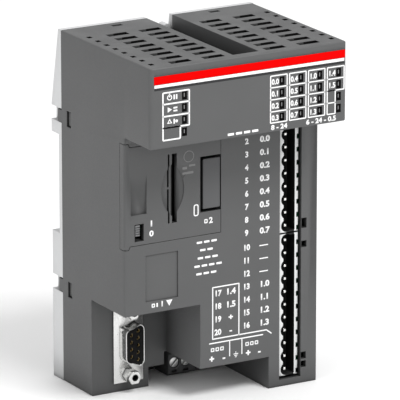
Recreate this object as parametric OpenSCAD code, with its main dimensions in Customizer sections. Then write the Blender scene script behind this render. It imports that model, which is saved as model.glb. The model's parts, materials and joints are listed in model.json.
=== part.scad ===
// Compact programmable controller for a 35 mm top-hat rail.
// The casing stands on its lower edge: X is the width, Y the depth (front is -Y), Z the height.
// Everything is drawn from the lower front left corner, and placed() moves it onto the
// middle of the bounding box's lower face.

/* [Housing] */
// Width of the housing
body_w = 82; // [82:0.5:86]
// Height of the housing
body_h = 135; // [134:0.5:138]
// Depth over the status panel and the rear base
total_d = 74; // [74:0.25:76]
// Depth from the status panel to the housing's rear rim
shell_d = 66.3; // [66:0.1:66.5]
// Thickness of the outer walls
wall = 2; // [1.8:0.1:2.2]
// Thickness of the inner walls round each recess
rib = 1.6; // [1.4:0.1:1.6]

/* [Status panel] */
// How far the panel stands in front of the terminal face
reach = 19.2; // [19:0.1:20]
// Height of the panel
panel_h = 30; // [29.5:0.25:30.5]
// Height of one row of indicators
led_row = 4.5; // [4.4:0.05:4.55]
// Width of one column of indicators
led_col = 8; // [7.8:0.1:8]
// Height of the coloured band
band_h = 3.1; // [2.5:0.1:3.3]

/* [Cooling] */
// Louvres in each column
louvres = 8; // [4:1:8]
// Distance from one louvre to the next
louvre_pitch = 6.5; // [6:0.1:6.6]
// Width of the groove along the top
groove_w = 10.9; // [9:0.1:11]
// Depth of the groove
groove_d = 6; // [5:0.5:6]

/* [Terminals] */
// Distance between two signal pins
pin_pitch = 5; // [4.9:0.05:5]
// Pins in the upper header
upper_pins = 9; // [5:1:9]
// Pins in the lower header
lower_pins = 11; // [5:1:11]
// Poles of the supply plug
poles = 5; // [3:1:5]
// Distance between two poles of the supply plug
pole_pitch = 5.04; // [5:0.01:5.08]

/* [Rail] */
// Height of the rail's middle above the lower edge
rail_z = 76; // [75.5:0.5:76]
// Width of the rail
rail_w = 35; // [35:0.1:35]

/* [Hidden] */
$fn = 48;
eps = 0.02;
cut = 1;                                   // how far a cutter runs past a face

// status panel
panel_z = body_h - panel_h;
led_x0 = 13;                               // left column of indicators
led_x1 = 53.7;                             // first of the right columns
led_w = 2.1;
led_h = 3.2;
led_z = 123.7;                             // middle of the top row
led_rows = 4;
led_cols = 4;
band_z = body_h - 6.1;
band_x = 1.5;
pipe_front = 0.15;                         // the light pipes end just behind the face
pipe_plate = 2.1;
led_board_y = 8;

// groove and louvres
groove_x = 36.1;
groove_y = 3.5;
groove_z = body_h - groove_d;
louvre_x = [10.7, 24.4, 50.1, 64.3];
louvre_l = 8.5;
louvre_w = 3.2;
louvre_y = 5;                              // middle of the front louvre
edge_hole_x = [2.9, body_w - 3.7];
edge_hole = [1.8, 2.2];

// terminal face and option cover
face_y = reach;
cover_t = 2;
cover_w = 40.3;
cover_z0 = 64;
cover_z1 = 101.2;
cover_lip = 1.3;                           // extra height of the cover's left strip
cover_lip_w = 2.2;
cover_wrap = 3.3;
gap = 0.2;                                 // play round a removable piece
pocket_y = face_y + cover_t + gap;
pocket_back = pocket_y + rib;

// option blank, card slot and switch
blank_x = [31.7, cover_w];
blank_z = [72.6, 93.7];
blank_gap = 1.25;
card_x = [18.1, 21.9];
card_z = [70.4, 96.5];
switch_x = [4.2, 8];
switch_z = [65.4, 71.9];
knob_x = [4.4, 6.3];
knob_h = 4.1;
grip_x = [2.6, 9.2];
grip_z = [75.5, 90.2];

// serial port recess
ser_w = 31.7;
ser_h = 37.4;
ser_y = 44.4;
port_x = 15.2;
port_z = 18.8;
shell_l = 16.3;                            // D-shaped shell
shell_w = 7.9;
shell_y = 38.4;
flange = [12.5, 30.8, 0.7];
jack_pitch = 25;
jack_r = 4.75 / 2 / cos(30);
jack_bore = 1.15;
jack_l = 5;

// supply recess and plug
pwr_x0 = 24;
pwr_x1 = 61.1;
pwr_h = 12.5;
pwr_y = 61.6;
notch_h = 7.5;
plug_x = 35.8;
plug_y = 50;
plug_back = 60.2;
plug_z = [0.4, 9.8];
pole_x = plug_x + 2.52;
screw_z = 5.4;
cage_y = 54.5;
cage_l = 4.6;
chamber_y = [52.4, 59.2];
chamber_z = [3.2, 7.6];
contact_z = 8.3;
header_pin = 1;

// signal headers
hdr_x = [65.9, 74.1];
hdr_y = [20.3, 28];
hdr_open_x = [65.6, 74.9];
pin_x = 69;
pin_top = 101.8;                           // height of pin 1
hdr_gap = 0.6;                             // extra distance between the two headers
pin_low = pin_top - upper_pins * pin_pitch - hdr_gap;
latch_x = [75, 77.2];
latch_z = [[60.2, 64.1], [52.8, 55.3], [9.4, 12.1], [6.1, 8.6]];

// boards
board_t = 1.6;
front_board_y = 28;
base_board_y = 63.4;
riser_x = 62.4;
riser_z = [46, 96];
front_post = [[57, 98], [57, 46], [27, 55], [12, 99.5]];
base_post = [[9, 120], [72, 120], [9, 44], [72, 26]];
led_post = [[24, 117], [44, 117]];
screw_r = 1.25;

// rear base
base_y = shell_d;
floor_y = base_y + 2.2;                    // face that the rail lies on
rail_room = [57, 95];
hook_notch = [[99.8, 105.2], [34.4, 40.1]];
catch_t = 1.9;
snap_z = [[99.3, 105.4], [33.8, 39.7]];
snap_y = [59.2, 62.3];
hook_x = [12, 58];
hook_w = 12;
latch_w = 14;
latch_y = [69.9, 72.6];
latch_top = 60.2;
spring_z = [23.4, 41];
spring_x = body_w / 2;
spring_r = 1.9;
spring_wire = 0.3;

// bus connector on the right side
bus_z = [58, 94];
bus_y = [51, 62];

// ---- helpers ----

// moves a piece from the corner where it is drawn to the middle of the base
module placed() translate([-body_w / 2, -total_d / 2, 0]) children();

// box between two corners
module block(lo, hi) translate(lo) cube(hi - lo);

// cylinder along +Y
module rod_y(x, y, z, r, l) translate([x, y, z]) rotate([-90, 0, 0]) cylinder(r = r, h = l);

// outline in X and Z, extruded along +Y
module slab_y(y, l) translate([0, y + l, 0]) rotate([90, 0, 0]) linear_extrude(l) children();

// outline in Y and Z, extruded along +X
module slab_x(x, l) translate([x, 0, 0]) rotate([90, 0, 90]) linear_extrude(l) children();

function arc(c, r, a0, a1, n) = [for (i = [0:n]) let (a = a0 + (a1 - a0) * i / n)
    [c[0] + r * cos(a), c[1] + r * sin(a)]];

// D-shaped outline of the serial port; the long side faces +X
function d_outline(grow) = let (
    w = shell_w / 2 + grow, l = shell_l / 2 + grow, r = 2.4 + grow,
    lean = 10, short = l - 2 * w * tan(lean))
    concat(arc([w - r, l - r], r, 90 - lean, 0, 6), arc([w - r, r - l], r, 0, lean - 90, 6),
        arc([r - w, r - short], r, lean - 90, -180, 6), arc([r - w, short - r], r, 180, 90 - lean, 6));

function led_at(row) = led_z - row * led_row;
function pole_at(i) = pole_x + i * pole_pitch;
function serial_pin(i) = i < 5 ? [port_x + 1.42, port_z + (2 - i) * 2.77]
    : [port_x - 1.42, port_z + (6.5 - i) * 2.77];

// places its child at every indicator of one column
module led_column(x) for (row = [0:led_rows - 1]) translate([x, 0, led_at(row)]) children();

// ---- casing ----

module housing_space() difference() {
    union() {
        block([wall, face_y + wall, wall], [body_w - wall, shell_d + cut, body_h - wall]);
        block([wall, wall, panel_z + wall], [body_w - wall, face_y + wall + cut, body_h - wall]);
    }
    block([groove_x - rib, groove_y - rib, groove_z - rib],
        [groove_x + groove_w + rib, shell_d + 2 * cut, body_h]);
    block([0, 0, 0], [ser_w + rib, ser_y + wall, ser_h + rib]);
    block([pwr_x0 - rib, 0, 0], [pwr_x1 + rib, pwr_y + rib, pwr_h + rib]);
    block([0, 0, cover_z0 - rib - cover_lip], [cover_w + gap + rib, pocket_back, panel_z + wall]);
    for (p = front_post) rod_y(p[0], face_y, p[1], 2.6, front_board_y - face_y);
    for (p = led_post) rod_y(p[0], 0, p[1], 2.2, led_board_y);
}

module louvre_cuts() {
    for (x = louvre_x, i = [0:louvres - 1])
        translate([0, louvre_y + i * louvre_pitch - louvre_w / 2, 0])
            slab_y(0, louvre_w) polygon([[x, body_h + cut], [x, body_h - 0.5],
                [x + 0.62 * louvre_l, body_h - wall], [x + 0.62 * louvre_l, body_h - wall - cut],
                [x + louvre_l, body_h - wall - cut], [x + louvre_l, body_h + cut]]);
    for (x = edge_hole_x, i = [0:louvres - 1])
        translate([x, louvre_y + i * louvre_pitch, body_h - wall - cut])
            cube([edge_hole[0], edge_hole[1], wall + 2 * cut]);
}

// outline of the option cover in X and Z; grow adds play all round
module cover_outline(grow) polygon([
    [-cut, cover_z0 - cover_lip - grow], [cover_lip_w - 0.6 + grow, cover_z0 - cover_lip - grow],
    [cover_lip_w + grow, cover_z0 - grow], [cover_w + grow, cover_z0 - grow],
    [cover_w + grow, cover_z1 + grow], [cover_lip_w + grow, cover_z1 + grow],
    [cover_lip_w - 0.6 + grow, cover_z1 + cover_lip + grow], [-cut, cover_z1 + cover_lip + grow]]);

module face_cuts() {
    // pocket and openings behind the option cover
    slab_y(face_y - cut, cover_t + gap + cut) cover_outline(gap);
    intersection() {
        slab_y(face_y, cover_wrap + gap) cover_outline(gap);
        block([-cut, 0, 0], [1.2 + gap, shell_d, body_h]);
    }
    block([blank_x[0] - gap, pocket_y - cut, blank_z[0] - gap],
        [cover_w - 1, pocket_back + cut, blank_z[1] + gap]);
    block([card_x[0] - 1, pocket_y - cut, card_z[0] - 1], [card_x[1] + 1, pocket_back + cut, card_z[1] + 1]);
    block([switch_x[0] - 1, pocket_y - cut, switch_z[0]], [switch_x[1] + 1, pocket_back + cut, switch_z[1]]);
    // moulded field for a port that this version lacks
    block([8.7, face_y - cut, 41.9], [22.3, face_y + 0.4, 59.5]);
    // signal headers and their plugs' latches
    block([hdr_open_x[0], face_y - cut, 2.7], [hdr_open_x[1], face_y + wall + cut, panel_z - 0.4]);
    for (z = latch_z) block([latch_x[0], face_y - cut, z[0]], [latch_x[1], face_y + wall + cut, z[1]]);
    // indicator windows
    for (x = [led_x0, for (i = [0:led_cols - 1]) led_x1 + i * led_col])
        led_column(x) block([0, -cut, -led_h / 2], [led_w, wall + cut, led_h / 2]);
}

module port_opening() translate([port_x, 0, port_z])
    slab_y(ser_y - cut, wall + 2 * cut) square([10.4, 19.4], center = true);

module recess_cuts() {
    block([groove_x, groove_y, groove_z], [groove_x + groove_w, shell_d + cut, body_h + cut]);
    block([-cut, 0, -cut], [ser_w, ser_y, ser_h]);
    block([ser_w - cut, 0, -cut], [pwr_x1, pwr_y, pwr_h]);
    block([pwr_x0, ser_y - cut, -cut], [pwr_x1, pwr_y, notch_h]);
    block([pwr_x0, ser_y + wall, -cut], [pwr_x1, pwr_y, pwr_h]);
    block([plug_x - 0.1, pwr_y - cut, -cut], [pwr_x1 - 0.1, shell_d + cut, plug_z[1] + 0.1]);
    port_opening();
    for (s = [-1, 1]) rod_y(port_x, ser_y - cut, port_z + s * jack_pitch / 2, 1.6, wall + 2 * cut);
}

module snap_cuts() {
    for (z = snap_z, x = [-cut, body_w - wall - cut])
        block([x, snap_y[0], z[0]], [x + wall + 2 * cut, snap_y[1], z[1]]);
    for (x = [19.3, 60.8]) block([x, 61.5, body_h - wall - cut], [x + 4.2, 63.6, body_h + cut]);
    block([body_w - wall - cut, bus_y[0] - gap, bus_z[0] - gap],
        [body_w + cut, bus_y[1] + gap, bus_z[1] + gap]);
}

module front_housing() color("#5c5e61") placed() {
    difference() {
        union() {
            block([0, face_y, 0], [body_w, shell_d, body_h]);
            block([0, 0, panel_z], [body_w, face_y + cut, body_h]);
        }
        housing_space();
        recess_cuts();
        face_cuts();
        louvre_cuts();
        snap_cuts();
        block([band_x, -cut, band_z], [body_w + cut, 0.3, band_z + band_h]);
        for (p = front_post) rod_y(p[0], front_board_y - 4.5, p[1], screw_r + 0.05, 5);
        for (p = led_post) rod_y(p[0], led_board_y - 4.5, p[1], 0.85, 5);
    }
    // catches that reach into the rear base
    for (z = hook_notch, x = [0, body_w - catch_t])
        block([x, shell_d - cut, z[0] + 0.3], [x + catch_t, shell_d + 2.9, z[1] - 0.5]);
}

module rear_base() color("#c9cbcc") placed() {
    difference() {
        slab_x(0, body_w) polygon([[base_y, 0], [total_d, 0], [total_d, rail_room[0]],
            [floor_y, rail_room[0]], [floor_y, rail_room[1]], [total_d, rail_room[1]],
            [total_d, hook_notch[0][1]], [floor_y - 0.1, body_h], [base_y, body_h]]);
        // side notches for the housing's catches
        for (z = hook_notch, x = [-cut, body_w - wall - 0.1])
            block([x, base_y - cut, z[0]], [x + wall + 0.1 + cut, total_d + cut, z[1]]);
        // end of the top groove, and the supply header's tails
        block([groove_x, base_y - cut, groove_z], [groove_x + groove_w, total_d, body_h + cut]);
        block([plug_x, base_y - cut, 1], [pwr_x1 - 0.4, base_y + 0.8, 9.4]);
        // hollows in the back, between ribs
        for (x = [6.5, 19.5, 51.5, 64.5], z = [2, 12.5, 23, 42])
            block([x, floor_y, z], [x + 11.5, total_d + cut, z + 9]);
        for (x = [6.5, 19.5, 32.5, 45.5, 58.5]) {
            block([x, floor_y, 96.8], [x + 11.5, total_d + cut, 103.6]);
            block([x, floor_y, 106], [x + 11.5, total_d, 116]);
        }
        // channel of the rail latch
        block([spring_x - latch_w / 2 - gap, latch_y[0] - gap, -cut],
            [spring_x + latch_w / 2 + gap, total_d + cut, rail_room[0] + cut]);
        for (p = base_post) rod_y(p[0], base_y - cut, p[1], screw_r + 0.05, 1.9 + cut);
    }
    // fixed hooks over the rail's upper edge
    for (x = hook_x) difference() {
        block([x, latch_y[0], rail_z + 15.8], [x + hook_w, total_d - 1.4, rail_room[1] + eps]);
        slab_x(x - cut, hook_w + 2 * cut) polygon([[total_d - 1.4 + eps, rail_z + 15.8 - eps],
            [total_d - 1.4 + eps, rail_z + 18], [total_d - 3, rail_z + 15.8 - eps]]);
    }
    // bars that hold the latch in its channel, and the post under its spring
    for (z = [9, 46]) block([spring_x - latch_w / 2 - 1, latch_y[1] + gap, z],
        [spring_x + latch_w / 2 + 1, total_d, z + 5]);
    block([spring_x - 3, latch_y[0] - gap - eps, spring_z[0] - 2], [spring_x + 3, latch_y[1], spring_z[0]]);
    // bosses of the base board
    for (p = base_post) difference() {
        rod_y(p[0], base_board_y + board_t, p[1], 3, base_y - base_board_y - board_t + eps);
        rod_y(p[0], base_board_y, p[1], screw_r + 0.05, 4);
    }
    // side and top tongues that click into the housing
    for (z = snap_z, side = [0, 1]) translate([side * body_w, 0, 0]) mirror([side, 0, 0]) {
        block([wall + gap, snap_y[0] - 1, z[0] + 0.4], [wall + 1.4, base_y + eps, z[1] - 0.4]);
        block([0.6, snap_y[0] + 0.4, z[0] + 0.4], [wall + gap + eps, snap_y[1] - 0.6, z[1] - 0.4]);
    }
    for (x = [19.5, 61]) {
        block([x, 60.5, body_h - 3.4], [x + 3.8, base_y + eps, body_h - wall - gap]);
        block([x, 61.8, body_h - wall - gap - eps], [x + 3.8, 63.2, body_h - 0.7]);
    }
    // rounded catch at the end of the groove
    intersection() {
        rod_y(groove_x + 7.6, 64.4, groove_z + 1.7, 1.6, floor_y - 64.5);
        block([0, 0, groove_z + 0.1], [body_w, total_d, body_h]);
    }
    block([groove_x + 6, base_y, groove_z - 1], [groove_x + 9.2, floor_y - 0.1, groove_z + 1.7]);
}

module coloured_band() color("#e2001a") placed()
    block([band_x + 0.05, 0.02, band_z + 0.05], [body_w - 0.02, 0.28, band_z + band_h - 0.05]);

module option_cover() color("#5c5e61") placed() difference() {
    union() {
        intersection() {
            slab_y(face_y, cover_t) cover_outline(0);
            block([0, 0, 0], [body_w, total_d, body_h]);
        }
        intersection() {
            slab_y(face_y, cover_wrap) cover_outline(0);
            block([0, 0, 0], [1.2, total_d, body_h]);
        }
    }
    // window of the option blank, open towards the right edge
    block([blank_x[0], face_y - cut, blank_z[0]], [cover_w + cut, face_y + cover_t + cut, blank_z[1]]);
    // card slot: one slit each side of a guide rib, bridged at half height
    block([card_x[0], face_y - cut, card_z[0]], [card_x[0] + 0.7, face_y + cover_t + cut, 83.2]);
    block([card_x[0], face_y - cut, 84], [card_x[0] + 0.7, face_y + cover_t + cut, card_z[1]]);
    block([card_x[0] + 1.7, face_y - cut, card_z[0]], [card_x[1], face_y + cover_t + cut, card_z[1]]);
    // finger dish beside the slot
    intersection() {
        rod_y(28.3, face_y - cut, 82.9, 13, 0.6 + cut);
        rod_y(11.9, face_y - cut, 82.9, 13, 0.6 + cut);
    }
    // sloping grip and switch opening
    slab_x(grip_x[0], grip_x[1] - grip_x[0]) polygon([[face_y - cut, grip_z[0]], [face_y + 1.3, grip_z[0]],
        [face_y, grip_z[1]], [face_y - cut, grip_z[1]]]);
    block([switch_x[0], face_y - cut, switch_z[0]], [switch_x[1], face_y + cover_t + cut, switch_z[1]]);
}

module option_blank() color("#66686b") placed() {
    block([blank_x[0] + blank_gap, face_y + 0.1, blank_z[0] + blank_gap - 0.2],
        [cover_w - 0.1, pocket_y - 0.1, blank_z[1] - blank_gap + 0.2]);
    // plug that fills the slot behind
    block([blank_x[0] + blank_gap + 1, pocket_y - 0.1 - eps, blank_z[0] + 2.4],
        [cover_w - 2.4, pocket_back + 0.6, blank_z[1] - 2.4]);
}

// ---- controls and indicators ----

module run_stop_switch() color("#26272a") placed() difference() {
    block([switch_x[0] - 0.6, pocket_back + 0.2, switch_z[0] - 1.2],
        [switch_x[1] + 0.6, front_board_y, switch_z[1] + 1.2]);
    block([knob_x[0] - 0.2, pocket_back, switch_z[0] + 0.2], [knob_x[1] + 0.2, front_board_y - 2, switch_z[1] - 0.2]);
}

module run_stop_knob() color("#707276") placed() {
    knob_z = switch_z[1] - 0.3 - knob_h;
    difference() {
        block([knob_x[0], face_y - 0.2, knob_z], [knob_x[1], face_y + 3, knob_z + knob_h]);
        for (i = [0:3]) block([knob_x[0] - cut, face_y - 0.2 - cut, knob_z + 0.55 + i * 0.85],
            [knob_x[1] + cut, face_y + 0.1, knob_z + 0.95 + i * 0.85]);
    }
    block([knob_x[0] + 0.3, face_y + 3 - eps, knob_z + 0.8], [knob_x[1] - 0.3, front_board_y - 2.3, knob_z + knob_h - 0.8]);
}

module card_socket() color("#202124") placed() difference() {
    block([card_x[0] - 0.6, pocket_back + 0.3, card_z[0] - 1.4], [card_x[1] + 1.8, front_board_y, card_z[1] + 1.4]);
    block([card_x[0] + 1.7, pocket_back, card_z[0]], [card_x[1], front_board_y - 0.6, card_z[1]]);
}

module option_connector() color("#1d1e20") placed() difference() {
    block([33, pocket_back + 1, 75], [37.6, front_board_y, 91.4]);
    for (i = [0:6], x = [34, 36]) block([x, pocket_back, 76.5 + i * 2], [x + 0.8, front_board_y - 1, 77.3 + i * 2]);
}

module light_pipe(columns) {
    for (x = columns) led_column(x)
        block([0.08, pipe_front, 0.08 - led_h / 2], [led_w - 0.08, led_board_y - 1.2, led_h / 2 - 0.08]);
    block([columns[0] - 0.9, pipe_plate, led_at(led_rows - 1) - 2.2],
        [columns[len(columns) - 1] + led_w + 0.15, pipe_plate + 1.2, led_at(0) + 2.2]);
}

module left_light_pipe() color("#1a1b1d") placed() light_pipe([led_x0]);

module right_light_pipe() color("#1a1b1d") placed()
    light_pipe([for (i = [0:led_cols - 1]) led_x1 + i * led_col]);

module indicator_board() color("#1f5a3a") placed() difference() {
    block([4, led_board_y, panel_z + 3], [body_w - 2.3, led_board_y + board_t, groove_z - rib - 0.6]);
    for (p = led_post) rod_y(p[0], led_board_y - cut, p[1], 1, board_t + 2 * cut);
}

module indicator_leds() color("#d8dcc8") placed()
    for (x = [led_x0, for (i = [0:led_cols - 1]) led_x1 + i * led_col])
        led_column(x) block([0.4, led_board_y - 0.9, -0.8], [1.9, led_board_y, 0.8]);

module indicator_link() color("#1c1d1f") placed()
    difference() {
        block([30, led_board_y + board_t, 108.4], [38, front_board_y, 111]);
        for (i = [0:6]) block([30.4 + i * 1.1, led_board_y + board_t + 3, 108], [31 + i * 1.1, front_board_y - 3, 112]);
    }

// ---- boards ----

module front_board() color("#1f5a3a") placed() difference() {
    union() {
        block([3, front_board_y, 41], [body_w - 3, front_board_y + board_t, 122]);
        block([pwr_x1 + rib + 0.8, front_board_y, 4], [body_w - 3, front_board_y + board_t, 41 + eps]);
    }
    for (p = front_post) rod_y(p[0], front_board_y - cut, p[1], 1.5, board_t + 2 * cut);
}

module base_board() color("#1f5a3a") placed() difference() {
    block([4, base_board_y, 3.5], [body_w - 4, base_board_y + board_t, groove_z - rib - 0.8]);
    for (p = base_post) rod_y(p[0], base_board_y - cut, p[1], 1.5, board_t + 2 * cut);
}

module riser_board() color("#1f5a3a") placed()
    block([riser_x, front_board_y + board_t + 2, riser_z[0]], [riser_x + board_t, base_board_y - 2, riser_z[1]]);

module riser_sockets() color("#1c1d1f") placed()
    for (y = [front_board_y + board_t, base_board_y - 5]) difference() {
        block([riser_x - 1.6, y, riser_z[0] + 2], [riser_x + board_t + 1.6, y + 5, riser_z[1] - 2]);
        block([riser_x, y == base_board_y - 5 ? y - cut : y + 2, riser_z[0]],
            [riser_x + board_t, y == base_board_y - 5 ? y + 3 : y + 5 + cut, riser_z[1]]);
    }

module chip(x, y, z, w, h, t, legs) {
    block([x, y - t, z], [x + w, y - 0.15, z + h]);
    step = (h - 1) / legs;
    for (i = [0:legs - 1], side = [0, 1]) translate([x + side * w, 0, 0]) mirror([1 - side, 0, 0])
        block([-eps, y - 0.5, z + 0.5 + (i + 0.25) * step], [0.9, y, z + 0.5 + (i + 0.7) * step]);
}

module processor() color("#232427") placed() chip(20, base_board_y, 84, 16, 16, 1.6, 12);

module memory_chips() color("#232427") placed() {
    chip(20, base_board_y, 106, 8, 13, 1.3, 8);
    chip(36, base_board_y, 106, 8, 13, 1.3, 8);
}

module driver_chips() color("#232427") placed()
    for (z = [50, 64, 78]) chip(49, front_board_y, z, 5, 9, 1.6, 6);

module supply_capacitors() color("#31353b") placed()
    for (p = [[12, 56], [24, 56], [12, 70]]) difference() {
        rod_y(p[0], base_board_y - 16, p[1], 4.8, 16);
        rod_y(p[0], base_board_y - 16 - cut, p[1], 3.4, 0.3 + cut);
    }

module supply_inductor() color("#4a3a2c") placed() difference() {
    block([36, base_board_y - 9, 48], [48, base_board_y, 60]);
    rod_y(42, base_board_y - 9 - cut, 54, 3.6, 2 + cut);
}

module clock_crystal() color("#b9bcc0") placed() {
    block([41, base_board_y - 3, 88], [45, base_board_y, 98]);
    block([40.7, base_board_y - 0.6, 87.7], [45.3, base_board_y, 98.3]);
}

module backup_capacitor() color("#2b3a6b") placed() difference() {
    rod_y(30, base_board_y - 6, 72, 5.5, 6);
    rod_y(30, base_board_y - 6 - cut, 72, 4.6, 0.4 + cut);
}

// pan-head screw that goes in along +Y or, with back set, along -Y
module board_screw(x, y, z, l, r, back) translate([x, y, z]) mirror([0, back ? 1 : 0, 0]) difference() {
    union() {
        rod_y(0, -1.2, 0, r * 1.9, 1.2);
        rod_y(0, -eps, 0, r, l + eps);
    }
    for (a = [0, 90]) rotate([0, a, 0]) block([-r, -1.2 - cut, -0.25], [r, -0.5, 0.25]);
}

module front_board_screws() color("#a8abaf") placed()
    for (p = front_post) board_screw(p[0], front_board_y + board_t, p[1], 5.6, screw_r, true);

module base_board_screws() color("#a8abaf") placed()
    for (p = base_post) board_screw(p[0], base_board_y, p[1], 4.6, screw_r, false);

module indicator_board_screws() color("#a8abaf") placed()
    for (p = led_post) board_screw(p[0], led_board_y + board_t, p[1], 5.6, 0.8, true);

// ---- signal headers ----

// shrouded header with n poles, whose top pin is at height z
module signal_header(z, n) {
    length = n * pin_pitch;
    bottom = z - (n - 0.5) * pin_pitch;
    difference() {
        block([hdr_x[0], hdr_y[0], bottom], [hdr_x[1], hdr_y[1], bottom + length]);
        block([pin_x - 1.1, hdr_y[0] - cut, bottom + 0.6], [hdr_x[1] - 1.4, hdr_y[1] - 1.8, bottom + length - 0.6]);
        for (i = [0:n - 1]) {
            rod_y(pin_x + 0.3, hdr_y[0] - cut, z - i * pin_pitch, 2.4, hdr_y[1] - 1.8 - hdr_y[0] + cut);
            block([hdr_x[1] - 0.7, hdr_y[0] - cut, z - 2.2 - i * pin_pitch],
                [hdr_x[1] + cut, hdr_y[1] - 3, z - 0.4 - i * pin_pitch]);
            block([pin_x - 0.5, hdr_y[1] - 2, z - 0.5 - i * pin_pitch],
                [pin_x + 0.5, hdr_y[1] + cut, z + 0.5 - i * pin_pitch]);
        }
    }
}

module signal_pins(z, n) for (i = [0:n - 1])
    block([pin_x - 0.5, hdr_y[0] + 0.6, z - 0.5 - i * pin_pitch],
        [pin_x + 0.5, front_board_y, z + 0.5 - i * pin_pitch]);

module upper_header() color("#d5d7d8") placed() signal_header(pin_top, upper_pins);
module lower_header() color("#d5d7d8") placed() signal_header(pin_low, lower_pins);
module upper_pins() color("#e6e6e2") placed() signal_pins(pin_top, upper_pins);
module lower_pins() color("#e6e6e2") placed() signal_pins(pin_low, lower_pins);

// ---- serial port ----

module serial_shell() color("#d9dadb") placed() translate([port_x, 0, port_z]) {
    difference() {
        union() {
            block([-flange[0] / 2, ser_y - flange[2], -flange[1] / 2], [flange[0] / 2, ser_y - 0.02, flange[1] / 2]);
            slab_y(shell_y, ser_y - 0.02 - shell_y) polygon(d_outline(0));
        }
        slab_y(shell_y - cut, ser_y - shell_y + 2 * cut) polygon(d_outline(-0.4));
        for (s = [-1, 1]) rod_y(0, ser_y - flange[2] - cut, s * jack_pitch / 2, 1.55, flange[2] + 2 * cut);
    }
}

module serial_insert() color("#17181a") placed() difference() {
    union() {
        translate([port_x, 0, port_z]) {
            slab_y(shell_y + 0.2, ser_y - shell_y) polygon(d_outline(-0.5));
            slab_y(ser_y + 0.1, 10) square([10, 19], center = true);
            slab_y(ser_y + 10, base_board_y - ser_y - 10) square([8, 17], center = true);
        }
    }
    for (i = [0:8]) let (p = serial_pin(i)) rod_y(p[0], shell_y, p[1], 0.75, base_board_y - shell_y + cut);
}

module serial_contacts() color("#c9a54a") placed()
    for (i = [0:8]) let (p = serial_pin(i)) difference() {
        rod_y(p[0], shell_y + 0.8, p[1], 0.72, base_board_y - shell_y - 0.8);
        rod_y(p[0], shell_y, p[1], 0.5, 6);
    }

module serial_jackscrews() color("#c7c9cb") placed()
    for (s = [-1, 1]) translate([port_x, ser_y - flange[2] - 0.02, port_z + s * jack_pitch / 2]) difference() {
        union() {
            rotate([90, 0, 0]) cylinder(r = jack_r, h = jack_l, $fn = 6);
            rod_y(0, -eps, 0, 1.4, 5.2);
            rod_y(0, flange[2] + wall + 0.1, 0, 2.6, 1.6);
        }
        rod_y(0, -jack_l - cut, 0, jack_bore, jack_l - 0.4 + cut);
    }

// ---- supply terminals ----

module supply_header() color("#4b4d50") placed() difference() {
    block([plug_x + 0.1, plug_back + 0.2, 0.8], [pwr_x1 - 0.2, base_board_y, plug_z[1] - 0.2]);
    for (i = [0:poles - 1]) translate([pole_at(i), 0, contact_z])
        block([-header_pin / 2, plug_back, -header_pin / 2], [header_pin / 2, base_board_y + cut, header_pin / 2]);
}

module supply_header_pins() color("#dcdcd8") placed()
    for (i = [0:poles - 1]) translate([pole_at(i), 0, contact_z])
        block([-header_pin / 2, plug_back - 3.4, -header_pin / 2], [header_pin / 2, base_board_y, header_pin / 2]);

module supply_plug() color("#66686b") placed() difference() {
    slab_x(plug_x, poles * pole_pitch) polygon([[plug_y, 1.2], [plug_y + 0.8, plug_z[0]], [plug_back, plug_z[0]],
        [plug_back, plug_z[1]], [plug_y + 1.2, plug_z[1]], [plug_y, plug_z[1] - 1]]);
    for (i = [0:poles - 1]) translate([pole_at(i), 0, 0]) {
        rod_y(0, plug_y - cut, screw_z, 2.1, 1.9 + cut);
        rod_y(0, plug_y, screw_z, 1.5, 3);
        block([-1.95, chamber_y[0], chamber_z[0]], [1.95, chamber_y[1], chamber_z[1]]);
        block([-1.05, 55.4, chamber_z[0] - 0.4], [1.05, plug_back + cut, plug_z[1] - 0.6]);
        block([-1.6, 56.2, -cut], [1.6, 58.4, chamber_z[0] + cut]);
        block([-1.1, plug_y - cut, 1.5], [1.1, plug_y + 1.4, 2.5]);
    }
}

module supply_contacts() color("#c8a04a") placed()
    for (i = [0:poles - 1]) translate([pole_at(i), 0, 0]) {
        block([-1, 55.55, chamber_z[0]], [1, 56.05, contact_z + 0.8]);
        for (s = [-1, 1]) block([s * 0.78 - 0.2, 56.05 - eps, contact_z - 0.45], [s * 0.78 + 0.2, plug_back - 0.2, contact_z + 0.45]);
    }

module clamp_screw(i) color("#c7c9cb") placed() translate([pole_at(i), 0, screw_z]) difference() {
    union() {
        rod_y(0, plug_y + 0.2, 0, 1.95, 1.6);
        rod_y(0, plug_y + 1.8 - eps, 0, screw_r, 55.4 - plug_y - 1.8);
    }
    rotate([0, -45, 0]) block([-3, plug_y, -0.3], [3, plug_y + 0.9, 0.3]);
}

module clamp_cage(i) color("#b9bcc0") placed() translate([pole_at(i), 0, 0]) difference() {
    block([-1.8, cage_y, 3.5], [1.8, cage_y + cage_l, 7.3]);
    rod_y(0, cage_y - cut, screw_z, screw_r + 0.05, 1 + cut + eps);
    block([-1.3, cage_y + 1, 3], [1.3, cage_y + cage_l - 0.7, 8]);
}

module clamp_screw_1() clamp_screw(0);
module clamp_screw_2() clamp_screw(1);
module clamp_screw_3() clamp_screw(2);
module clamp_screw_4() clamp_screw(3);
module clamp_screw_5() clamp_screw(4);
module clamp_cage_1() clamp_cage(0);
module clamp_cage_2() clamp_cage(1);
module clamp_cage_3() clamp_cage(2);
module clamp_cage_4() clamp_cage(3);
module clamp_cage_5() clamp_cage(4);

// ---- rail latch ----

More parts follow.
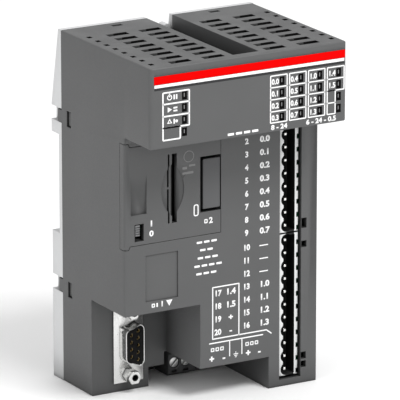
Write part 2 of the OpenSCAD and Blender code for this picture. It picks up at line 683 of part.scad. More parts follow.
module rail_latch() color("#4b4d50") placed() difference() {
    union() {
        block([spring_x - latch_w / 2, latch_y[0], 6], [spring_x + latch_w / 2, latch_y[1], rail_room[0] - 0.4]);
        slab_x(spring_x - latch_w / 2, latch_w) polygon([[latch_y[0], rail_room[0] - 0.4 - eps],
            [latch_y[1], rail_room[0] - 0.4 - eps], [latch_y[1], latch_top - 1.6], [latch_y[0] + 0.6, latch_top], [latch_y[0], latch_top]]);
    }
    block([spring_x - 3.4, latch_y[0] - cut, spring_z[0] - 8.4], [spring_x + 3.4, latch_y[1] + cut, spring_z[1]]);
    block([spring_x - 4, latch_y[0] - cut, 8.5], [spring_x + 4, latch_y[1] + cut, 11]);
}

// coil spring: rings of points along a helix, closed at both ends
module latch_spring() color("#b9bcc0") placed() {
    turns = 9;
    sides = 8;
    per_turn = 16;
    rings = turns * per_turn;
    r = (latch_y[1] - latch_y[0]) / 2 - spring_wire - 0.1;
    rise = spring_z[1] - spring_z[0] - 2 * spring_wire - 0.1;
    points = [for (i = [0:rings]) let (a = 360 * i / per_turn, z = spring_wire + 0.05 + rise * i / rings)
        for (j = [0:sides - 1]) let (b = 360 * j / sides, d = r + spring_wire * cos(b))
            [d * cos(a), d * sin(a), z + spring_wire * sin(b)]];
    faces = concat(
        [for (i = [0:rings - 1], j = [0:sides - 1]) let (k = (j + 1) % sides)
            [i * sides + j, (i + 1) * sides + j, (i + 1) * sides + k, i * sides + k]],
        [[for (j = [0:sides - 1]) j]], [[for (j = [sides - 1:-1:0]) rings * sides + j]]);
    translate([spring_x, (latch_y[0] + latch_y[1]) / 2, spring_z[0]]) polyhedron(points, faces, convexity = 10);
}

// ---- bus connector ----

module bus_connector() color("#1c1d1f") placed() difference() {
    block([body_w - 9, bus_y[0], bus_z[0]], [body_w - 0.4, bus_y[1], bus_z[1]]);
    block([body_w - 6, bus_y[0] + 2.4, bus_z[0] + 2.4], [body_w, bus_y[1] - 2.4, bus_z[1] - 2.4]);
}

module bus_contacts() color("#c9a54a") placed()
    for (i = [0:9], y = [bus_y[0] + 3.6, bus_y[1] - 4.4])
        block([body_w - 6, y, bus_z[0] + 5.6 + i * 2.6], [body_w - 1.6, y + 0.8, bus_z[0] + 6.4 + i * 2.6]);

front_housing();
rear_base();
coloured_band();
option_cover();
option_blank();
run_stop_switch();
run_stop_knob();
card_socket();
option_connector();
left_light_pipe();
right_light_pipe();
indicator_board();
indicator_leds();
indicator_link();
front_board();
base_board();
riser_board();
riser_sockets();
upper_header();
upper_pins();
lower_header();
lower_pins();
serial_shell();
serial_insert();
serial_contacts();
serial_jackscrews();
supply_header();
supply_header_pins();
supply_plug();
supply_contacts();
clamp_screw_1();
clamp_screw_2();
clamp_screw_3();
clamp_screw_4();
clamp_screw_5();
clamp_cage_1();
clamp_cage_2();
clamp_cage_3();
clamp_cage_4();
clamp_cage_5();
rail_latch();
latch_spring();
bus_connector();
bus_contacts();
processor();
memory_chips();
driver_chips();
supply_capacitors();
supply_inductor();
clock_crystal();
backup_capacitor();
front_board_screws();
base_board_screws();
indicator_board_screws();
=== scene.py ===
# %% [markdown]
# # A controller module for a 35 mm rail
#
# The CAD frame already holds every part of this controller at its real size and place. In this lesson
# Blender dresses it: the mouldings get soft edges, the metal parts get their plating, and the printed
# marks go on last. The frame itself is never moved, so each new piece is told which CAD body it rides on.

import json
import math

import bpy
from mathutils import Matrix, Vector

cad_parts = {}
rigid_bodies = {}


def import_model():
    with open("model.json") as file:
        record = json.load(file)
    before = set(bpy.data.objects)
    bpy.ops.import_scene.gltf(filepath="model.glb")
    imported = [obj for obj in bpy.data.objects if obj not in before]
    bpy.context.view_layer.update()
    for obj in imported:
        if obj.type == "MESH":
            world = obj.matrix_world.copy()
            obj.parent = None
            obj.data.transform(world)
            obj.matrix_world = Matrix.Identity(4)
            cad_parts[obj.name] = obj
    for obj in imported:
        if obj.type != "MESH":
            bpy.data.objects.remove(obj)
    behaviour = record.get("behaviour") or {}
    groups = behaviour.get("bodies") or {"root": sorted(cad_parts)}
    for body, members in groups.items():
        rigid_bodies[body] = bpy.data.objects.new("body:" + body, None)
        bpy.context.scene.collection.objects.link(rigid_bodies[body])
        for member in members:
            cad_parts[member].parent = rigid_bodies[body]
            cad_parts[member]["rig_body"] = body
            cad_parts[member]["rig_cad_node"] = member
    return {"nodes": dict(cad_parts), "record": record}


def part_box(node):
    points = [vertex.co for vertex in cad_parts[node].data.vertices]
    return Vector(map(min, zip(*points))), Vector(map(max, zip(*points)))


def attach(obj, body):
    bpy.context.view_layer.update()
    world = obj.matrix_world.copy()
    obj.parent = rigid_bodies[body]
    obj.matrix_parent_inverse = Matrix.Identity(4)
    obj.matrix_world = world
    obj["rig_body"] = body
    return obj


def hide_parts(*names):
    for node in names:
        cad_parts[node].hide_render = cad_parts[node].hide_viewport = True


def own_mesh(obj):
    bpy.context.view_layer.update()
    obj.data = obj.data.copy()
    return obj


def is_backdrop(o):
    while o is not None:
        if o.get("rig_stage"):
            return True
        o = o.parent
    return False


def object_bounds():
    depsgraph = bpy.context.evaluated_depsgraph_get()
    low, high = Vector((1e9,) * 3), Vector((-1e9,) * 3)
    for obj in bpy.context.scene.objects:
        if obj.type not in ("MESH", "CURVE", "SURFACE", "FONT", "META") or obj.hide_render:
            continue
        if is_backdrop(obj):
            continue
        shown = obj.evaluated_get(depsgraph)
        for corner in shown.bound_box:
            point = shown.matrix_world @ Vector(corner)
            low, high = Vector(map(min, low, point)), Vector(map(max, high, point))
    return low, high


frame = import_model()
cad_low, cad_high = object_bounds()
print("CAD box in millimetres:", [round(1000 * side, 2) for side in cad_high - cad_low])

# %% [markdown]
# ## Working in the drawing's own millimetres
#
# The drawing of such a casing counts from its lower front left corner. Two small helpers turn those
# millimetres into the frame's metres and back, so that every place below can be read against the real
# object, and the places of neighbouring parts come from their CAD boxes.

# %% Millimetres from the corner
MM = 0.001


def at(x, y, z):
    """A point given in millimetres from the casing's lower front left corner."""
    return Vector((cad_low.x + x * MM, cad_low.y + y * MM, cad_low.z + z * MM))


def corners(node):
    """Lowest and highest corner of a CAD node, in millimetres from the same corner."""
    low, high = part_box(node)
    return (low - cad_low) / MM, (high - cad_low) / MM


housing_high = corners("front_housing")[1]
print("housing:", [round(v, 2) for v in housing_high])

# %% [markdown]
# ## Camera
#
# The casing is looked at from its left, a little from above, through a long lens, so that its upright
# edges stay almost parallel. A long lens far away keeps the proportions true, where a short one close by
# would make the near corner bulge.

# %% Camera
target = (cad_low + cad_high) / 2 + Vector((0, -3.5 * MM, 0))
azimuth, elevation = math.radians(-30.17), math.radians(16.29)
distance = 1.85543              # metres, from the camera to the middle of the casing
towards_camera = Vector((math.sin(azimuth) * math.cos(elevation),
                         -math.cos(azimuth) * math.cos(elevation), math.sin(elevation)))
bpy.ops.object.camera_add(location=target + distance * towards_camera)
camera = bpy.context.object
camera.rotation_euler = towards_camera.to_track_quat("Z", "Y").to_euler()
camera.data.sensor_width = 36
camera.data.lens = 453.05
camera.data.shift_x = -0.00645
camera.data.shift_y = 0.03235
bpy.context.scene.camera = camera
print("camera at", [round(v, 3) for v in camera.location])

# %% [markdown]
# ## Floor and light
#
# Dark matt plastic shows its shape only by how light rolls over its edges. Three large soft lamps do
# that: a key from the front and above, a fill from the left, and a strip over the top. A pale floor
# sends light back into the recesses. The view transform is plain, so the red band stays a clean red.

# %% Floor
bpy.ops.object.select_all(action="DESELECT")
bpy.ops.mesh.primitive_plane_add(size=8, location=(0, 0, cad_low.z))
floor = bpy.context.object
floor.name = "floor"
bpy.ops.object.transform_apply(location=True, rotation=True, scale=True)
floor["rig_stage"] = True
bpy.context.scene.view_settings.view_transform = "Standard"

# %% Lamps
LAMPS = {
    "key": ((0.35, -1.40, 2.00), 0.80, 36.0),
    "fill": ((-1.60, -0.40, 0.90), 1.20, 5.5),
    "top": ((0.00, 0.40, 1.80), 0.90, 2.5),
}
for lamp_name, (place, size, power) in LAMPS.items():
    bpy.ops.object.light_add(type="AREA", location=place)
    lamp = bpy.context.object
    lamp.name = "lamp_" + lamp_name
    lamp.data.size = size
    lamp.data.energy = power
    lamp.rotation_euler = (Vector(place) - target).to_track_quat("Z", "Y").to_euler()
world = bpy.data.worlds.new("studio")
world.use_nodes = True
world.node_tree.nodes["Background"].inputs["Color"].default_value = (1, 1, 1, 1)
world.node_tree.nodes["Background"].inputs["Strength"].default_value = 0.64
bpy.context.scene.world = world
print("lamps:", sorted(LAMPS))

# %% [markdown]
# ## Shared effects
#
# Four effects come back in almost every finish, so each is a node group that is built once. `mould
# grain` is the fine leather-like texture that a spark-eroded mould leaves, `rubbed edge` finds corners
# by comparing the true normal with one that a Bevel node has rounded, `settled dust` lies where a face
# looks up, and `recess shade` finds the slots and corners that light hardly reaches, so that shade can be
# painted there.
# They only put out masks, heights and normals, and each material decides what to do with them.

# %% Node helpers
def new_group(name, inputs, outputs):
    """An empty node group with float inputs (name: default) and float outputs."""
    group = bpy.data.node_groups.new(name, "ShaderNodeTree")
    for label, default in inputs.items():
        socket = group.interface.new_socket(label, in_out="INPUT", socket_type="NodeSocketFloat")
        socket.default_value = default
    for label in outputs:
        group.interface.new_socket(label, in_out="OUTPUT", socket_type="NodeSocketFloat")
    return group, group.nodes.new("NodeGroupInput"), group.nodes.new("NodeGroupOutput")


def noise(tree, place, scale, detail=2.0, roughness=0.5):
    """A noise texture that reads a place; scale is a number or a socket, in turns per metre."""
    texture = tree.nodes.new("ShaderNodeTexNoise")
    texture.inputs["Detail"].default_value = detail
    texture.inputs["Roughness"].default_value = roughness
    tree.links.new(place, texture.inputs["Vector"])
    if isinstance(scale, (int, float)):
        texture.inputs["Scale"].default_value = scale
    else:
        tree.links.new(scale, texture.inputs["Scale"])
    return texture.outputs["Fac"]


def calculate(tree, operation, first, second=None, clamp=False):
    """A Math node; each operand is a number or a socket."""
    node = tree.nodes.new("ShaderNodeMath")
    node.operation = operation
    node.use_clamp = clamp
    for slot, value in enumerate((first, second)):
        if isinstance(value, (int, float)):
            node.inputs[slot].default_value = value
        elif value is not None:
            tree.links.new(value, node.inputs[slot])
    return node.outputs[0]


def spread(tree, value, low, high, to_low=0.0, to_high=1.0):
    """A Map Range node from low..high to to_low..to_high, clamped."""
    node = tree.nodes.new("ShaderNodeMapRange")
    tree.links.new(value, node.inputs["Value"])
    for label, number in zip(("From Min", "From Max", "To Min", "To Max"), (low, high, to_low, to_high)):
        node.inputs[label].default_value = number
    return node.outputs["Result"]


def object_place(tree):
    """The place on the object, which stays put when the object moves."""
    return tree.nodes.new("ShaderNodeTexCoord").outputs["Object"]


# %% Mould grain
grain_group, grain_in, grain_out = new_group(
    "mould grain", {"Grains per metre": 3000.0}, ["Height", "Patch"])
grain_place = object_place(grain_group)
fine = noise(grain_group, grain_place, grain_in.outputs["Grains per metre"], 3.0, 0.6)
coarse = noise(grain_group, grain_place, 45.0, 2.0)
grain_group.links.new(fine, grain_out.inputs["Height"])
grain_group.links.new(coarse, grain_out.inputs["Patch"])

# %% Rubbed edge
edge_group, edge_in, edge_out = new_group("rubbed edge", {"Radius": 0.0004}, ["Mask"])
edge_group.interface.new_socket("Normal", in_out="OUTPUT", socket_type="NodeSocketVector")
rounded = edge_group.nodes.new("ShaderNodeBevel")
rounded.samples = 6
edge_group.links.new(edge_in.outputs["Radius"], rounded.inputs["Radius"])
flat = edge_group.nodes.new("ShaderNodeNewGeometry")
alike = edge_group.nodes.new("ShaderNodeVectorMath")
alike.operation = "DOT_PRODUCT"
edge_group.links.new(rounded.outputs["Normal"], alike.inputs[0])
edge_group.links.new(rounded.outputs["Normal"], edge_out.inputs["Normal"])
edge_group.links.new(flat.outputs["Normal"], alike.inputs[1])
corner = spread(edge_group, alike.outputs["Value"], 0.995, 0.86)
patches = spread(edge_group, noise(edge_group, object_place(edge_group), 260.0, 3.0), 0.35, 0.65)
edge_group.links.new(calculate(edge_group, "MULTIPLY", corner, patches), edge_out.inputs["Mask"])

# %% Settled dust
dust_group, dust_in, dust_out = new_group("settled dust", {"Amount": 0.3}, ["Mask"])
facing = dust_group.nodes.new("ShaderNodeSeparateXYZ")
dust_group.links.new(dust_group.nodes.new("ShaderNodeNewGeometry").outputs["Normal"], facing.inputs[0])
upward = spread(dust_group, facing.outputs["Z"], 0.3, 1.0)
cloudy = spread(dust_group, noise(dust_group, object_place(dust_group), 90.0, 4.0, 0.6), 0.35, 0.75)
lying = calculate(dust_group, "MULTIPLY", upward, cloudy)
dust_group.links.new(calculate(dust_group, "MULTIPLY", lying, dust_in.outputs["Amount"]),
                     dust_out.inputs["Mask"])

# %% Recess shade
# Painted shade: the mask is high where ambient occlusion finds little light, and the finishes darken their
# colour there.
recess_group, recess_in, recess_out = new_group("recess shade", {"Reach": 0.003}, ["Mask"])
nearby = recess_group.nodes.new("ShaderNodeAmbientOcclusion")
nearby.samples = 8
recess_group.links.new(recess_in.outputs["Reach"], nearby.inputs["Distance"])
recess_group.links.new(spread(recess_group, nearby.outputs["AO"], 0.9, 0.25), recess_out.inputs["Mask"])
print("node groups:", [group.name for group in bpy.data.node_groups])

# %% [markdown]
# ## Finishes
#
# A moulding is one colour only from afar. Up close its grain breaks the gloss, its edges are a shade
# lighter where hands have polished them, and the colour drifts a little where the melt met. One
# function builds that for every plastic, and another does the same for metals, whose plating varies in
# roughness instead of colour. Both also paint shade into the corners and cavities that light hardly
# reaches.

# %% Materials for plastics
def tinted(tree, colour, mask, other, strength):
    """Mixes a colour (or a colour socket) towards another one where the mask is high."""
    mix = tree.nodes.new("ShaderNodeMix")
    mix.data_type = "RGBA"
    if isinstance(colour, tuple):
        mix.inputs["A"].default_value = (*colour, 1)
    else:
        tree.links.new(colour, mix.inputs["A"])
    mix.inputs["B"].default_value = (*other, 1)
    tree.links.new(calculate(tree, "MULTIPLY", mask, strength, clamp=True), mix.inputs["Factor"])
    return mix.outputs["Result"]


def effect(tree, group, **settings):
    """Places a shared effect in a material with its own values."""
    node = tree.nodes.new("ShaderNodeGroup")
    node.node_tree = group
    for label, value in settings.items():
        node.inputs[label.replace("_", " ")].default_value = value
    return node


def surface(name, roughness, metallic=0.0):
    """A new material, with its tree and its Principled shader."""
    material = bpy.data.materials.new(name)
    material.use_nodes = True
    tree = material.node_tree
    shader = tree.nodes["Principled BSDF"]
    shader.inputs["Roughness"].default_value = roughness
    shader.inputs["Metallic"].default_value = metallic
    return material, tree, shader


def rough_and_bumpy(tree, shader, grain, roughness, swing, bump, depth, edges=None):
    """Lets the grain vary the roughness and lift the surface, on normals that roll over the edges."""
    tree.links.new(spread(tree, grain.outputs["Height"], 0.3, 0.7, roughness - swing, roughness + swing),
                   shader.inputs["Roughness"])
    relief = tree.nodes.new("ShaderNodeBump")
    relief.inputs["Strength"].default_value = bump
    relief.inputs["Distance"].default_value = depth
    tree.links.new(grain.outputs["Height"], relief.inputs["Height"])
    if edges:
        tree.links.new(edges.outputs["Normal"], relief.inputs["Normal"])
    tree.links.new(relief.outputs["Normal"], shader.inputs["Normal"])


def shaded(tree, base, colour, near=0.0022, far=0.014, corners_take=0.75, cavities_take=0.6):
    """Paints shade into a colour: darkens it in tight corners and, over a longer reach, in deep cavities.
    """
    for reach, strength in ((near, corners_take), (far, cavities_take)):
        recess = effect(tree, recess_group, Reach=reach)
        base = tinted(tree, base, recess.outputs["Mask"], tuple(c * 0.1 for c in colour), strength)
    return base


def lighter(colour, share):
    """A colour moved towards white by a share."""
    return tuple(c + (1 - c) * share for c in colour)


def moulded(name, colour, roughness=0.5, grains=2600.0, bump=0.25, wear=0.5, dust=0.25, lift=0.1, gloss=0.4,
            drift_to=0.93, cavities=0.6):
    """Moulded plastic: grain, lighter rubbed edges, a slow drift of colour and a little dust."""
    material, tree, shader = surface(name, roughness)
    shader.inputs["Specular IOR Level"].default_value = gloss
    grain = effect(tree, grain_group, Grains_per_metre=grains)
    drift = spread(tree, grain.outputs["Patch"], 0.3, 0.7)
    base = tinted(tree, colour, drift, tuple(c * drift_to for c in colour), 1.0)
    edges = effect(tree, edge_group, Radius=0.0004)
    base = tinted(tree, base, edges.outputs["Mask"], lighter(colour, lift), wear)
    fluff = effect(tree, dust_group, Amount=dust)
    base = tinted(tree, base, fluff.outputs["Mask"], lighter(colour, 0.35), 0.5)
    # Painted shade: the colour itself is darkened in corners and cavities.
    tree.links.new(shaded(tree, base, colour, cavities_take=cavities), shader.inputs["Base Color"])
    rough_and_bumpy(tree, shader, grain, roughness, 0.08, bump, 0.00006, edges)
    return material


# %% Materials for metals
def plated(name, colour, roughness=0.25, grains=900.0, bump=0.05):
    """Plated or bare metal, a little rougher in patches and brighter on its rubbed edges."""
    material, tree, shader = surface(name, roughness, metallic=1.0)
    grain = effect(tree, grain_group, Grains_per_metre=grains)
    edges = effect(tree, edge_group, Radius=0.0002)
    base = tinted(tree, colour, grain.outputs["Patch"], tuple(c * 0.86 for c in colour), 0.8)
    base = tinted(tree, base, edges.outputs["Mask"], lighter(colour, 0.4), 0.7)
    # Painted shade: the metal's colour is darkened in corners and cavities, more weakly than on plastics.
    tree.links.new(shaded(tree, base, colour, 0.0012, 0.004, 0.45, 0.2), shader.inputs["Base Color"])
    rough_and_bumpy(tree, shader, grain, roughness, 0.07, bump, 0.00003, edges)
    return material


# %% The object's finishes
CASING_GREY = (0.098, 0.099, 0.100)
finish = {
    "housing": moulded("dark grey housing", CASING_GREY, 0.52),
    "base": moulded("light grey base", (0.64, 0.645, 0.65), 0.50, wear=0.3, lift=0.3,
                    drift_to=0.98, dust=0.1),
    "band": moulded("red band foil", (0.78, 0.0, 0.0), 0.45, 1500.0, 0.05,
                    wear=0.0, dust=0.0, gloss=0.03),
    "blank": moulded("blanking plate grey", (0.098, 0.099, 0.102), 0.48),
    "black_plastic": moulded("black connector moulding", (0.008, 0.008, 0.008), 0.42, 3200.0, 0.2,
                             wear=0.3, gloss=0.2),
    "knob": moulded("switch knob grey", (0.17, 0.172, 0.176), 0.45),
    "light_pipe": moulded("smoked light pipe", (0.001, 0.001, 0.001), 0.3, 1200.0, 0.03,
                          wear=0.0, dust=0.0, gloss=0.05),
    "led": moulded("clear indicator resin", (0.72, 0.73, 0.64), 0.2, 1500.0, 0.05),
    "header": moulded("pale header rim", (0.78, 0.79, 0.79), 0.45, wear=0.2, lift=0.3),
    "supply_header": moulded("supply header grey", (0.075, 0.077, 0.08), 0.5),
    "chip": moulded("chip epoxy", (0.018, 0.018, 0.02), 0.55, 3800.0, 0.3),
    "capacitor_sleeve": moulded("capacitor sleeve", (0.03, 0.035, 0.05), 0.3, 1600.0, 0.05),
    "ferrite": moulded("ferrite", (0.06, 0.045, 0.035), 0.7, 2200.0, 0.5),
    "backup_sleeve": moulded("backup capacitor sleeve", (0.02, 0.04, 0.15), 0.3, 1600.0, 0.05),
    "tinned_pins": plated("tinned pins", (0.86, 0.86, 0.84), 0.24),
    "plated_steel": plated("nickel plate", (0.80, 0.80, 0.79), 0.22),
    "gold_contacts": plated("gold flash", (0.83, 0.62, 0.28), 0.22),
    "brass_contacts": plated("brass", (0.78, 0.60, 0.30), 0.28),
    "cage_steel": plated("zinc plate", (0.66, 0.67, 0.68), 0.32),
    "spring_steel": plated("spring wire", (0.62, 0.63, 0.64), 0.28),
    "crystal_can": plated("drawn crystal can", (0.74, 0.75, 0.76), 0.24),
    "clamp_screws": plated("bright clamp screws", (0.93, 0.93, 0.92), 0.34),
    "insert": moulded("serial insert", (0.006, 0.006, 0.006), 0.5, 3200.0, 0.1,
                      wear=0.1, dust=0.0, gloss=0.1, cavities=0.1),
    # Painted shade: the near-black finish of the louvres' deep walls stands in for the shade there; the
    # plastic is the housing's grey.
    "shadowed_wall": moulded("wall in a slot", (0.006, 0.006, 0.006), 0.7, gloss=0.1, dust=0.0, wear=0.0),
    "board_screws": plated("board screw zinc", (0.62, 0.63, 0.64), 0.30),
}
print(len(finish), "finishes")

# %% [markdown]
# ## Circuit boards
#
# A board is green because of its solder mask, and the copper tracks under the mask show as slightly
# lighter lines. A brick pattern with thin mortar gives straight tracks with steps in them.

# %% Solder mask
board_mask, board_tree, board_shader = surface("green solder mask", 0.35)
tracks = board_tree.nodes.new("ShaderNodeTexBrick")
tracks.inputs["Scale"].default_value = 160.0
tracks.inputs["Mortar Size"].default_value = 0.035
tracks.inputs["Color1"].default_value = (0.010, 0.085, 0.040, 1)
tracks.inputs["Color2"].default_value = (0.012, 0.100, 0.046, 1)
tracks.inputs["Mortar"].default_value = (0.030, 0.190, 0.080, 1)
turned = board_tree.nodes.new("ShaderNodeMapping")
turned.inputs["Rotation"].default_value = (math.radians(90), 0, 0)
board_tree.links.new(object_place(board_tree), turned.inputs["Vector"])
board_tree.links.new(turned.outputs["Vector"], tracks.inputs["Vector"])
board_tree.links.new(tracks.outputs["Color"], board_shader.inputs["Base Color"])
board_grain = effect(board_tree, grain_group, Grains_per_metre=1800.0)
rough_and_bumpy(board_tree, board_shader, board_grain, 0.35, 0.06, 0.1, 0.00003)
finish["board"] = board_mask

# %% [markdown]
# ## Floor and first coat
#
# The floor is pale paper that is a touch uneven, because an even white looks like nothing at all. Then
# every CAD node gets the finish that its slot asks for, and the copies made below inherit it.

# %% The floor's finish
floor_paper, floor_tree, floor_shader = surface("pale floor", 0.9)
floor_tint = spread(floor_tree, noise(floor_tree, object_place(floor_tree), 3.0), 0.3, 0.7)
floor_tree.links.new(tinted(floor_tree, (0.99, 0.99, 0.99), floor_tint, (0.98, 0.98, 0.98), 1.0),
                     floor_shader.inputs["Base Color"])
floor.data.materials.append(floor_paper)

# %% Every CAD node gets its finish
record = frame["record"]
slot_of = {part["node"]: part["material_slot"] for part in record["subparts"]}
body_of = {node: body for body, nodes in record["behaviour"]["bodies"].items() for node in nodes}
for node, piece in frame["nodes"].items():
    piece.data.materials.clear()
    piece.data.materials.append(finish[slot_of[node]])
print(len(slot_of), "nodes dressed")

# %% [markdown]
# ## Soft edges on the mouldings
#
# A mould can't make a sharp edge, and a sharp edge catches no light. Each moulding is therefore copied
# from its CAD node, its loose triangles are merged, flat areas are dissolved into whole faces, and a
# Bevel modifier rounds what is left. The copy then stands for the node, and the node itself stays hidden
# in the frame. Rounding a copy is simpler than modelling the part again.
#
# Making flat areas whole and then rounding them has a trap: a face that runs round an opening can end up
# filling it like a lid. So each finished copy is measured against its CAD node, triangle by triangle. A
# copy that is only rounded stays within a fraction of a millimetre, and a lid shows up as millimetres.

# %% Helpers for single pieces
def take(piece):
    """Makes one piece the only selected and active object."""
    bpy.ops.object.select_all(action="DESELECT")
    piece.select_set(True)
    bpy.context.view_layer.objects.active = piece


def choose(piece, kind, test):
    """In edit mode, selects the verts, edges or faces whose test is true, and returns how many."""
    bpy.ops.mesh.select_mode(type=kind)
    bpy.ops.mesh.select_all(action="DESELECT")
    bpy.ops.object.mode_set(mode="OBJECT")
    parts = {"VERT": piece.data.vertices, "EDGE": piece.data.edges, "FACE": piece.data.polygons}[kind]
    for part in parts:
        part.select = bool(test(part))
    found = sum(part.select for part in parts)
    bpy.ops.object.mode_set(mode="EDIT")
    return found


def apply(piece, kind, **settings):
    """Adds a modifier with its settings and applies it."""
    take(piece)
    modifier = piece.modifiers.new(kind.lower(), kind)
    for label, value in settings.items():
        setattr(modifier, label, value)
    bpy.ops.object.modifier_apply(modifier=modifier.name)


def smooth(piece, angle=30):
    """Smooth shading that still breaks at edges sharper than the angle."""
    take(piece)
    bpy.ops.object.shade_smooth_by_angle(angle=math.radians(angle))


def soften(piece, radius):
    """Rounds every edge sharper than 30 degrees; radius is in millimetres."""
    apply(piece, "BEVEL", width=radius * MM, segments=2, limit_method="ANGLE",
          angle_limit=math.radians(30), harden_normals=False, use_clamp_overlap=True)
    smooth(piece, 35)


def merged_copy(node, name, whole=True):
    """A copy of a CAD node with its triangles merged and, if whole, its flat areas made single faces."""
    piece = frame["nodes"][node].copy()
    piece.data = frame["nodes"][node].data.copy()
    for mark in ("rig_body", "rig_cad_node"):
        del piece[mark]
    piece.parent = None
    piece.name = name
    bpy.context.scene.collection.objects.link(piece)
    take(piece)
    bpy.ops.object.mode_set(mode="EDIT")
    bpy.ops.mesh.select_all(action="SELECT")
    bpy.ops.mesh.remove_doubles(threshold=0.002 * MM)
    if whole:
        bpy.ops.mesh.dissolve_limited(angle_limit=math.radians(0.5), delimit={"NORMAL"})
    bpy.ops.object.mode_set(mode="OBJECT")
    return piece


def farthest_from(piece, node):
    """How far the middle of any of the piece's triangles is from the CAD node's surface, in millimetres."""
    mesh = piece.data
    mesh.calc_loop_triangles()
    gaps = []
    for triangle in mesh.loop_triangles:
        middle = sum((mesh.vertices[i].co for i in triangle.vertices), Vector()) / 3
        found, nearest, _, _ = frame["nodes"][node].closest_point_on_mesh(middle)
        gaps.append((nearest - middle).length / MM if found else math.inf)
    return max(gaps)


def stands_for(piece, *nodes):
    """The piece rides with the nodes' body and is shown instead of them."""
    gap = farthest_from(piece, nodes[0])    # before the node is hidden, as a hidden one can't be measured
    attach(piece, body_of[nodes[0]])
    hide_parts(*nodes)
    print(piece.name, "-", len(piece.data.polygons), "faces, within", round(gap, 2), "mm of", nodes[0])


# %% [markdown]
# ## The housing
#
# The housing is the largest moulding, and its outer corners are much rounder than the rims of its
# openings. Rounding every edge of such a riddled shape at once would run bevels into each other. So the
# outside is modelled first as a plain block with its overhang pulled forwards, its outer edges are
# rounded by weights, and the housing is then intersected with that block. Only the outer edges change,
# and every louvre, recess and window stays exactly as the CAD has it.

# %% Helpers for edges and for cutting
def ends(piece, edge):
    """Both ends of an edge, in millimetres from the corner."""
    return [(piece.data.vertices[i].co - cad_low) / MM for i in edge.vertices]


def lies_on(piece, edge, **planes):
    """True if the whole edge lies on the given planes, such as x=0, y=0."""
    return all(abs(getattr(end, axis) - value) < 0.02
               for end in ends(piece, edge) for axis, value in planes.items())


def keep_inside(piece, block):
    """Cuts away what sticks out of the rounded block, then makes flat areas whole again."""
    apply(piece, "BOOLEAN", operation="INTERSECT", solver="EXACT", object=block)
    bpy.ops.object.mode_set(mode="EDIT")
    bpy.ops.mesh.select_all(action="SELECT")
    bpy.ops.mesh.remove_doubles(threshold=0.002 * MM)
    bpy.ops.mesh.dissolve_limited(angle_limit=math.radians(0.5), delimit={"NORMAL"})
    bpy.ops.object.mode_set(mode="OBJECT")
    smooth(piece)


# %% Rounded outer block
width, height = housing_high.x, housing_high.z
face_y = corners("option_cover")[0].y
panel_z = height - 30
overhang_y = 0.0
bpy.ops.object.select_all(action="DESELECT")
bpy.ops.mesh.primitive_cube_add(size=1, location=at(width / 2, (face_y + housing_high.y) / 2, height / 2))
block = bpy.context.object
block.name = "outer_block"
block.scale = (width * MM, (housing_high.y - face_y) * MM, height * MM)
bpy.ops.object.transform_apply(location=True, rotation=True, scale=True)
bpy.ops.object.mode_set(mode="EDIT")
bpy.ops.mesh.select_all(action="SELECT")
bpy.ops.mesh.bisect(plane_co=at(0, 0, panel_z), plane_no=(0, 0, 1))
choose(block, "FACE", lambda face: face.normal.y < -0.9 and face.center.z > at(0, 0, panel_z).z)
bpy.ops.mesh.extrude_region_move(TRANSFORM_OT_translate={"value": (0, (overhang_y - face_y) * MM, 0)})
bpy.ops.object.mode_set(mode="OBJECT")

# %% How round each outer edge is, as a share of the largest radius
LARGEST_RADIUS = 1.7
FACE_EDGE = 0.5                 # the share of the upright edges beside the terminal face
WEIGHTS = [
    (1.0, dict(x=0, y=overhang_y)),
    (0.55, dict(x=width, y=overhang_y)),
    (FACE_EDGE, dict(x=0, y=face_y)),
    (FACE_EDGE, dict(x=width, y=face_y)),
    (0.45, dict(y=overhang_y, z=height)),
    (0.4, dict(y=overhang_y, z=panel_z)),
    (0.35, dict(x=0, z=height)),
    (0.35, dict(x=width, z=height)),
    (0.35, dict(x=0, z=panel_z)),
    (0.35, dict(x=width, z=panel_z)),
    (0.25, dict(y=face_y, z=0)),
    (0.25, dict(x=0, z=0)),
    (0.25, dict(x=width, z=0)),
]
weight = block.data.attributes.new("bevel_weight_edge", "FLOAT", "EDGE")
for edge in block.data.edges:
    shares = [share for share, planes in WEIGHTS if lies_on(block, edge, **planes)]
    weight.data[edge.index].value = max(shares, default=0)
weighted = sum(entry.value > 0 for entry in weight.data)
apply(block, "BEVEL", width=LARGEST_RADIUS * MM, segments=5, limit_method="WEIGHT", use_clamp_overlap=False)
print("outer block:", weighted, "edges rounded")

# %% Housing and its coloured band
housing = merged_copy("front_housing", "housing_moulding")
keep_inside(housing, block)
stands_for(housing, "front_housing")
band = merged_copy("coloured_band", "band_foil")
keep_inside(band, block)
stands_for(band, "coloured_band")
bpy.data.objects.remove(block)

# %% [markdown]
# ## Dark louvres
#
# Each louvre starts as a shallow ramp and ends in a hole. Light hardly reaches the deep end, so its walls
# look black although they are moulded in the same grey. The walls are cut where the ramp gets deep, and
# the deep part takes a near-black finish, as do the walls of the small holes along the top's edges. The
# shade is painted on here, and the real plastic is the same all over.

